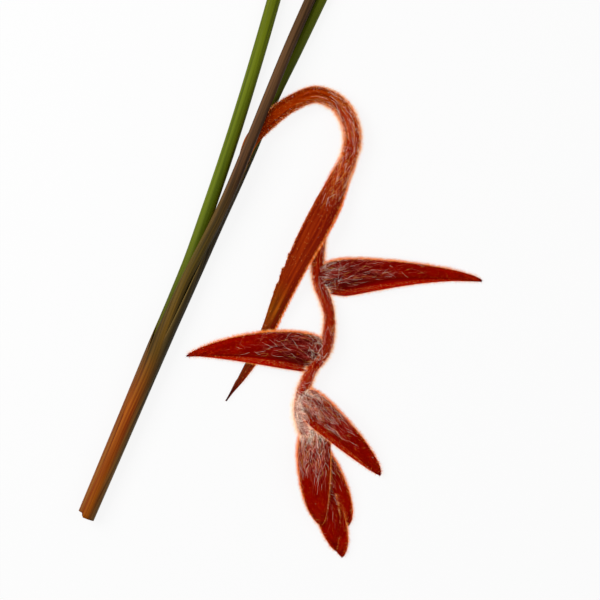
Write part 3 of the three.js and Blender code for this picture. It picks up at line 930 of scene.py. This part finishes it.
# node is the place on the axis, heading is in degrees, and aside is how far left of the node the foot is.
# heights are those of the middle at the base, at a third and at the tip. keel is 1 where the back is on the
# left of the heading and -1 where it is on the right. back and open are the outlines of the back and of the
# open side: reach as a share of the width, the place where the bract is widest, and the two powers of its
# fall to the tip. strip is the width of the far flap that shows, over the bract's. hairs, mats and tufts are
# numbers of hairs. Lengths are in millimetres.
bracts = [
    dict(
        node=1, heading=-1.4, aside=0, length=139.4, width=31.5, thickness=14.5,
        heights=(7.6, 7.4, 2.4), keel=1, back=(0.51, 0.24, 1.6, 0.6), open=(0.5, 0.17, 1.2, 2.2),
        strip=0.36, hairs=18000, mats=380, tufts=70,
    ),
    dict(
        node=2, heading=182.3, aside=0.6, length=117.8, width=32, thickness=14,
        heights=(9, 13.4, 2.6), keel=-1, back=(0.56, 0.36, 1.7, 0.75), open=(0.54, 0.15, 1.1, 1.4),
        strip=0.27, hairs=17000, mats=340, tufts=70,
    ),
    dict(
        node=3, heading=-46.3, aside=-1.8, length=96.9, width=27, thickness=12.5,
        heights=(12.5, 17.4, 4.5), keel=1, back=(0.475, 0.28, 2.4, 0.55), open=(0.51, 0.24, 1, 0.7),
        strip=0.27, hairs=14500, mats=640, tufts=150,
    ),
    dict(
        node=4, heading=-84.4, aside=6.5, length=81, width=29, thickness=12,
        heights=(10, 14.6, 12), keel=-1, back=(0.5, 0.35, 2.4, 0.6), open=(0.515, 0.16, 1, 0.5),
        strip=0.06, hairs=13000, mats=700, tufts=320,
    ),
    dict(
        node=5, heading=-66.5, aside=1, length=73, width=24, thickness=9.5,
        heights=(8, 6.2, 3.5), keel=1, back=(0.54, 0.42, 2.4, 0.6), open=(0.5, 0.3, 1.6, 0.8),
        strip=0.06, hairs=10000, mats=220, tufts=140,
    ),
    dict(
        node=6, heading=-77.4, aside=-2, length=73.6, width=21, thickness=9,
        heights=(8, 8.6, 5), keel=-1, back=(0.5, 0.35, 2.2, 0.7), open=(0.5, 0.45, 1.8, 0.8),
        strip=0.06, hairs=9000, mats=170, tufts=50,
    ),
    dict(
        node=7, heading=-77, aside=0, length=64.5, width=20.5, thickness=8,
        heights=(6, 4.4, 3), keel=1, back=(0.5, 0.5, 2.4, 0.6), open=(0.5, 0.4, 2, 0.8),
        strip=0.06, hairs=8500, mats=50, tufts=20,
    ),
]
bract_rings = 110
bract_columns = 64
bract_wall = 1.1 * MM
base_share = 0.4
tip_share = 0.02


def edge_at(share, reach, widest, power, ease):
    """How far an edge stands from the chord, never less than a small share: a quarter of an ellipse up to the
    widest place, then a fall that goes as one less the power of the way to the tip, all to the ease."""
    left = np.clip(1 - share / widest, 0, 1)
    rise = reach * (base_share + (1 - base_share) * np.sqrt(1 - left**2))
    run = np.clip((share - widest) / (1 - widest), 0, 1)
    fall = reach * (1 - run**power) ** ease
    return np.maximum(np.where(share < widest, rise, fall), tip_share)


def boat(sizes):
    """A folded bract. A section's near flap runs from its margin up over the fold, and the far flap on to the
    open side. A flap stands off by the root of its way from the fold, times one less a share of that root's
    fourth power, so that it swells past the fold and comes in to its margin. The inside follows at the
    wall's depth."""
    share = np.linspace(0, 1, bract_rings) ** 1.08
    back_reach = edge_at(share, *sizes["back"])
    open_reach = edge_at(share, *sizes["open"])
    half = (back_reach + open_reach)[:, None] * sizes["width"] * MM / 2
    shift = (back_reach - open_reach)[:, None] * sizes["width"] * MM / 2
    swell = np.minimum(0.62 + 2.4 * share, 1) * (1 - 0.85 * share**1.8)
    thick = sizes["thickness"] * MM / 2 * swell[:, None]
    at_base, at_third, at_tip = np.array(sizes["heights"]) * MM
    level = at_base + (at_third - at_base) * smooth(0, 0.34, share)
    level = (level + (at_tip - at_third) * smooth(0.34, 1, share))[:, None]
    way = np.linspace(-1, 1, bract_columns)[None, :]
    root = np.abs(way)
    is_near = way < 0
    gape = sizes["strip"] * np.sin(np.pi * np.clip(0.03 + 0.97 * share, 0, 1))[:, None] ** 0.7
    reach = np.where(is_near, 2 - 2 * gape, 2.0)
    across = 1 - reach * root**2
    pull = np.where(is_near, 0.9, 0.87)
    off = 1.62 * root * (1 - pull * root**4) * np.where(is_near, 1, -0.95)
    lumps = 0.25 * MM * np.sin(share * 38)[:, None] * np.sin(way * 7 + 1) * swell[:, None]
    outer = np.stack([across * half, off * thick + lumps], -1)
    along = np.gradient(outer, axis=1)
    along /= np.linalg.norm(along, axis=-1, keepdims=True) + 1e-12
    inward = np.stack([-along[..., 1], along[..., 0]], -1)
    inward *= np.sign(-(inward * outer).sum(-1).mean())
    wall = np.minimum(bract_wall, 0.22 * thick) * (1 - 0.6 * root**6)
    inner = outer + inward * wall[..., None]
    ring = np.concatenate([outer, inner[:, ::-1]], axis=1)
    forward = heading(sizes["heading"])
    to_back = left_of(forward) * sizes["keel"]
    foot = nodes[sizes["node"]] * np.array([1, 1, 0]) + sizes["aside"] * MM * left_of(forward)
    chord = foot + (share * sizes["length"] * MM)[:, None] * forward
    raised = (level[..., None] + ring[..., 1:]) * UP
    grid = chord[:, None] + (ring[..., :1] + shift[..., None]) * to_back + raised
    both = np.concatenate([way, way[:, ::-1]], axis=1)
    marks = {
        "along": (share * sizes["length"] * MM)[:, None],
        "share": share[:, None],
        "round": both * half,
        "flap": 0.5 + 0.5 * both,
        "inside": np.arange(2 * bract_columns) >= bract_columns,
    }
    return grid, marks, share, way


def bract_finish():
    """Velvety deep red skin, nearly black under the matted base, with a brown-red line along the near margin,
    and an even bright red inside."""
    material, tree, shader = new_material("bract_skin", roughness=0.8, gloss=0)
    streaks, _ = fibres_on(tree, shader, depth=0.35 * MM, stretch=0.12, finest=1500)
    share = mark(tree, "share")
    places = (0, 0.3, 0.5, 0.8, 0.96, 1)
    light = ramp(tree, share, stops(places, "78140c 780c06 980800 b00c00 b02004 30040a"))
    dark = ramp(tree, share, stops(places, "440606 480404 780000 900400 640404 1c0206"))
    sharper = ramp(tree, streaks, [(0.36, "000000"), (0.64, "ffffff")])
    velvet = blend_colours(tree, sharper, dark, light)
    line = ramp(tree, mark(tree, "flap"), [(0, "808080"), (0.018, "606060"), (0.03, "000000")])
    lined = blend_colours(tree, line, velvet, colour("a42c08"))
    inner = ramp(tree, share, [(0, "780604"), (0.4, "a00600"), (0.9, "b00c00"), (1, "400404")])
    tree.links.new(blend_colours(tree, mark(tree, "inside"), lined, inner), shader.inputs["Base Color"])
    return material


velvet_skin = bract_finish()
# The rim hairs along the fold and the margins, the edges seen from above, are pale and glowing: partly the
# hair's own orange colour, partly a painted halo of backlight.
rim_part = 0.36  # of the short hairs, those that stand along the fold and the margin
dark_part = 0.14  # and those that lie under the matted base
skin_paints = dict(deep_red=8, red=9, orange=0.6)
base_paints = dict(maroon=7, deep_red=6, red=1, orange=0.2, rose=0.6)
rim_halo_paints = dict(red=1.5, orange=9, apricot=6, cream=0.6)
mat_paints = dict(orange=0.6, apricot=1.5, cream=3.5, rose=10)
tuft_paints = dict(apricot=1, cream=9, rose=1)
flap_paints = dict(maroon=1, deep_red=6, red=6, orange=1)
for number, sizes in enumerate(bracts, start=1):
    name = f"bract_{number}"
    grid, marks, share, way = boat(sizes)
    piece = skin(name + "_skin", grid, marks)
    piece.data.materials.append(velvet_skin)
    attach(piece, "root")
    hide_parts(name)

    outside = grid[:, :bract_columns]
    column = np.arange(2 * bract_columns) - bract_columns
    toward_tip = share[:, None] * np.ones_like(way)
    fold = np.exp(-((way / 0.15) ** 2)) * np.ones_like(toward_tip)
    margin = smooth(0.86, 1.0, np.abs(way)) * np.ones_like(toward_tip)
    is_top = (way < 0) * np.ones_like(toward_tip)
    plush = (0.5 + 0.5 * is_top) * (1 - smooth(0.985, 1, toward_tip))
    shaggy = 1 - smooth(0.12, 0.68, toward_tip + 0.06 * np.sin(way * 9))
    tuft = np.exp(-((toward_tip / 0.09) ** 2)) * (0.1 + 0.9 * is_top)
    mats = shaggy * (0.35 + 0.65 * is_top) * (1 - 0.75 * margin)
    rims = (fold + 0.3 * margin * (way > 0)) * (1 - smooth(0.97, 1, toward_tip)) + 0.001
    rim_count = int(sizes["hairs"] * rim_part)
    dark_count = int(sizes["hairs"] * dark_part)
    plush_count = sizes["hairs"] - rim_count - dark_count
    far_flap = smooth(0, 3, column) * (1 - smooth(12, 18, column)) * np.ones((bract_rings, 1))
    flap_count = sizes["hairs"] // 10
    fringe = (np.abs(column) < 3) * (1 - smooth(0.95, 1, share))[:, None]
    fringe_count = sizes["hairs"] // 7

    # Short hair on the outside, dark under the mats and bright along the rims, where its pale glowing colours
    # are partly a painted halo of backlight, then the mats and the tufts, and last the short hair on the
    # strip of the far flap's inside.
    layers = [
        hair_layer(
            outside,
            plush * (1.05 - shaggy),
            plush_count,
            skin_paints,
            run=(0.8, 2),
            lift=(0.3, 1.2),
            slant=0.5,
        ),
        hair_layer(
            outside, plush * shaggy, dark_count, base_paints, run=(0.8, 2.4), lift=(0.3, 1.4), slant=0.6
        ),
        hair_layer(
            outside, rims, rim_count, rim_halo_paints, run=(0.3, 1.6), lift=(1.2, 3.9), slant=0.9, thickness=0.14
        ),
        hair_layer(
            outside,
            mats,
            sizes["mats"],
            mat_paints,
            run=(4, 12),
            lift=(0.4, 1.9),
            slant=0.36,
            thickness=0.1,
            joints=6,
            arched=True,
        ),
        hair_layer(
            outside,
            tuft,
            sizes["tufts"],
            tuft_paints,
            run=(3, 9),
            lift=(1.0, 3.5),
            slant=0.8,
            thickness=0.11,
            joints=6,
            arched=True,
        ),
        hair_layer(grid, far_flap, flap_count, flap_paints, run=(0.6, 1.6), lift=(0.3, 1.1), slant=0.6),
    ]
    # A fringe in the rim paints stands out past the far flap's margin: partly the hair's own colour, partly a
    # painted halo of backlight.
    line, thickness, _ = strands(
        grid, fringe, fringe_count, run=(0.3, 1.4), lift=(0, 0.5), slant=0.5, thickness=0.14
    )
    open_side = -left_of(heading(sizes["heading"])) * sizes["keel"]
    push = rng.uniform(0.8, 2.8, fringe_count)[:, None] * MM * np.linspace(0, 1, 2)
    layers.append((line + push[..., None] * open_side, thickness, paint_mix(fringe_count, rim_halo_paints)))
    coat(name + "_hair", layers)

# ---------------------------------------------------------------- sizes, and the end
shown_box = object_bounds()
sizes = {"cad": [list(corner) for corner in cad_box], "visual": [list(corner) for corner in shown_box]}
